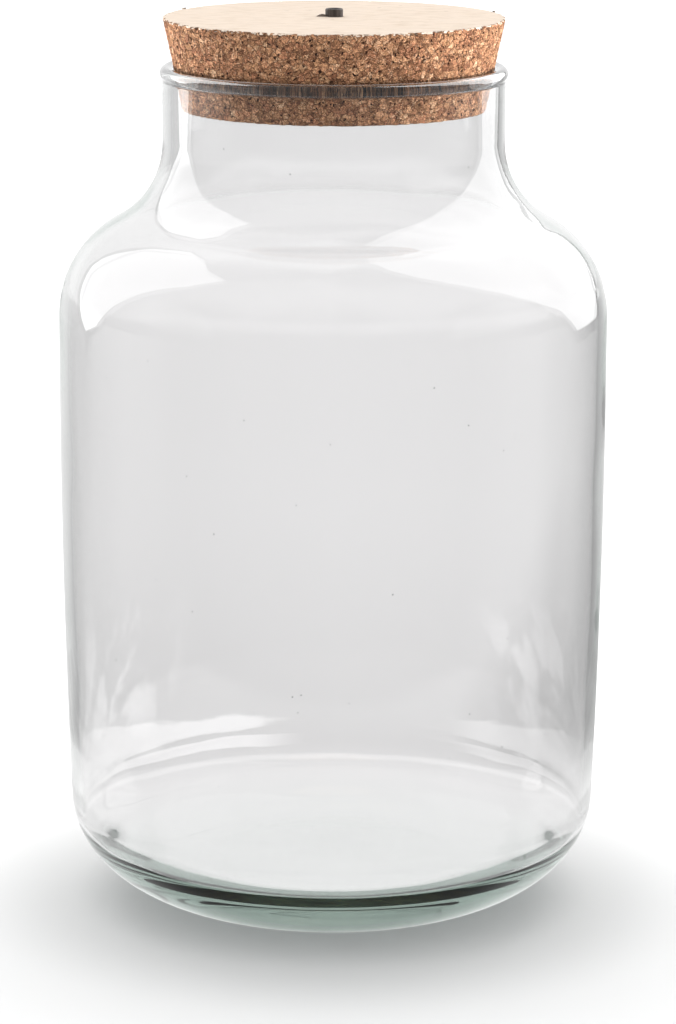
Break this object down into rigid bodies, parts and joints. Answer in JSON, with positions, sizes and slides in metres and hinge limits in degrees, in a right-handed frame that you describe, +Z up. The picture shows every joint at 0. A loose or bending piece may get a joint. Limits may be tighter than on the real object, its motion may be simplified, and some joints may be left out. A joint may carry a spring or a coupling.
{
  "type": "glass terrarium",
  "caption": "Tall clear glass terrarium jar with a rounded base, wide shoulder and short neck, closed by a tapered cork stopper with a small dark plug in its middle.",
  "frame": {"origin": "centre of the foot, on the surface that the jar stands on", "axes": "+Z up along the jar's axis, towards the stopper; +Y away from the picture's viewer, +X to the viewer's right"},
  "size_m": [0.2, 0.2, 0.3295],
  "materials": {
    "clear_glass": "clear blown glass with a faint green tint where it is thick",
    "agglomerated_cork": "pressed cork granules, matt, paler on the sanded top",
    "dark_rubber": "dark, slightly glossy"
  },
  "bodies": {
    "jar": {"glass_jar": "clear_glass"},
    "stopper": {"cork_stopper": "agglomerated_cork"},
    "plug": {"hole_plug": "dark_rubber"}
  },
  "joints": [
    {"name": "stopper_lift", "type": "slide", "parent": "jar", "child": "stopper", "axis": [0, 0, 1], "range_m": [0, 0.08]},
    {"name": "plug_pull", "type": "slide", "parent": "stopper", "child": "plug", "axis": [0, 0, 1], "range_m": [0, 0.045]}
  ]
}
